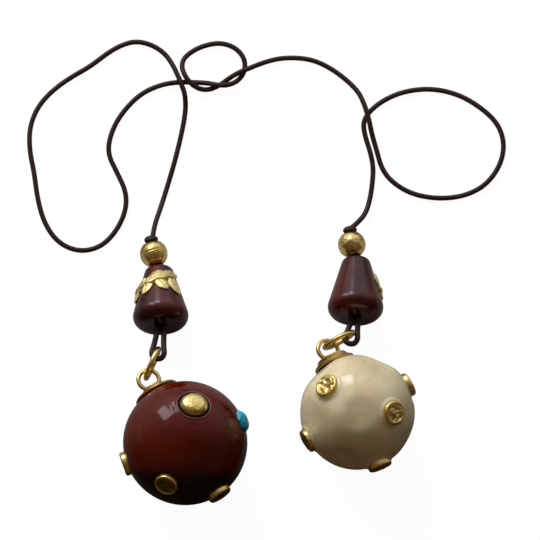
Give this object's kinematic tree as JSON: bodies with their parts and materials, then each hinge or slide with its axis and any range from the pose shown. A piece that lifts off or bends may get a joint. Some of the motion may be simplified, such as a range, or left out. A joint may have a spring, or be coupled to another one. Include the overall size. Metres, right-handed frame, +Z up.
{
  "type": "cord lariat with ball pendants",
  "caption": "Looped lariat cord whose ends carry large studded balls, each linked by a jump ring and an eye pin under a bell-shaped bead with a leaf sprig and a round metal bead.",
  "frame": {"origin": "on the floor, under the middle of the box round the two pendants, the cord not counted", "axes": "+Z up from the floor it lies on; both pendants point towards -Y with the balls furthest, the cord is looped towards +Y, and +X runs from the brown ball to the cream ball"},
  "size_m": [0.1656, 0.1681, 0.0428],
  "materials": {
    "cord": "smooth waxed round cord, dark brown",
    "gold": "satin antique gold plate",
    "pale_gold": "granular matt pale gold",
    "oxblood_resin": "polished, dark red-brown",
    "brown_resin": "polished, deep brown",
    "cream_resin": "polished, mottled cream, slightly uneven",
    "turquoise": "polished faceted stone"
  },
  "bodies": {
    "cord": {"long_cord": "cord", "left_knot": "cord", "right_knot": "cord", "left_cord_loop": "cord", "right_cord_loop": "cord"},
    "left_bead": {"left_gold_bead": "gold"},
    "right_bead": {"right_gold_bead": "gold"},
    "left_bell": {"left_bell": "oxblood_resin", "left_sprig": "pale_gold"},
    "right_bell": {"right_bell": "oxblood_resin", "right_sprig": "pale_gold"},
    "left_ring": {"left_jump_ring": "gold"},
    "right_ring": {"right_jump_ring": "gold"},
    "left_ball": {"brown_ball": "brown_resin", "left_cap": "gold", "left_collar": "gold", "left_eye_pin": "gold", "domed_stud": "gold", "rimmed_studs": "gold", "turquoise_stone": "turquoise"},
    "right_ball": {"cream_ball": "cream_resin", "right_cap": "gold", "right_collar": "gold", "right_eye_pin": "gold", "hammered_studs": "gold"}
  },
  "joints": [
    {"name": "left_bead_spin", "type": "hinge", "parent": "cord", "child": "left_bead", "pos_m": [-0.03928, 0.04157, 0.0048], "axis": [-0.3248, 0.9433, 0.0678], "continuous": true},
    {"name": "left_bell_spin", "type": "hinge", "parent": "cord", "child": "left_bell", "pos_m": [-0.0375, 0.0364, 0.00443], "axis": [0.037, -0.9619, 0.2707], "continuous": true},
    {"name": "left_ring_swing", "type": "hinge", "parent": "cord", "child": "left_ring", "pos_m": [-0.03765, 0.00557, 0.01312], "axis": [-0.0414, 0.3923, 0.9189], "range_deg": [-30, 20]},
    {"name": "left_ball_swing", "type": "hinge", "parent": "left_ring", "child": "left_ball", "pos_m": [-0.04166, -0.00392, 0.01699], "axis": [-0.0414, 0.3923, 0.9189], "range_deg": [-45, 30]},
    {"name": "right_bead_spin", "type": "hinge", "parent": "cord", "child": "right_bead", "pos_m": [0.02899, 0.04486, 0.0048], "axis": [-0.275, 0.959, 0.0679], "continuous": true},
    {"name": "right_bell_spin", "type": "hinge", "parent": "cord", "child": "right_bell", "pos_m": [0.0305, 0.0396, 0.00443], "axis": [-0.0134, -0.9626, 0.2707], "continuous": true},
    {"name": "right_ring_swing", "type": "hinge", "parent": "cord", "child": "right_ring", "pos_m": [0.02902, 0.0117, 0.01231], "axis": [0.2507, 0.2959, 0.9217], "range_deg": [-30, 30]},
    {"name": "right_ball_swing", "type": "hinge", "parent": "right_ring", "child": "right_ball", "pos_m": [0.02004, 0.00678, 0.01633], "axis": [0.2507, 0.2959, 0.9217], "range_deg": [-20, 15]}
  ]
}
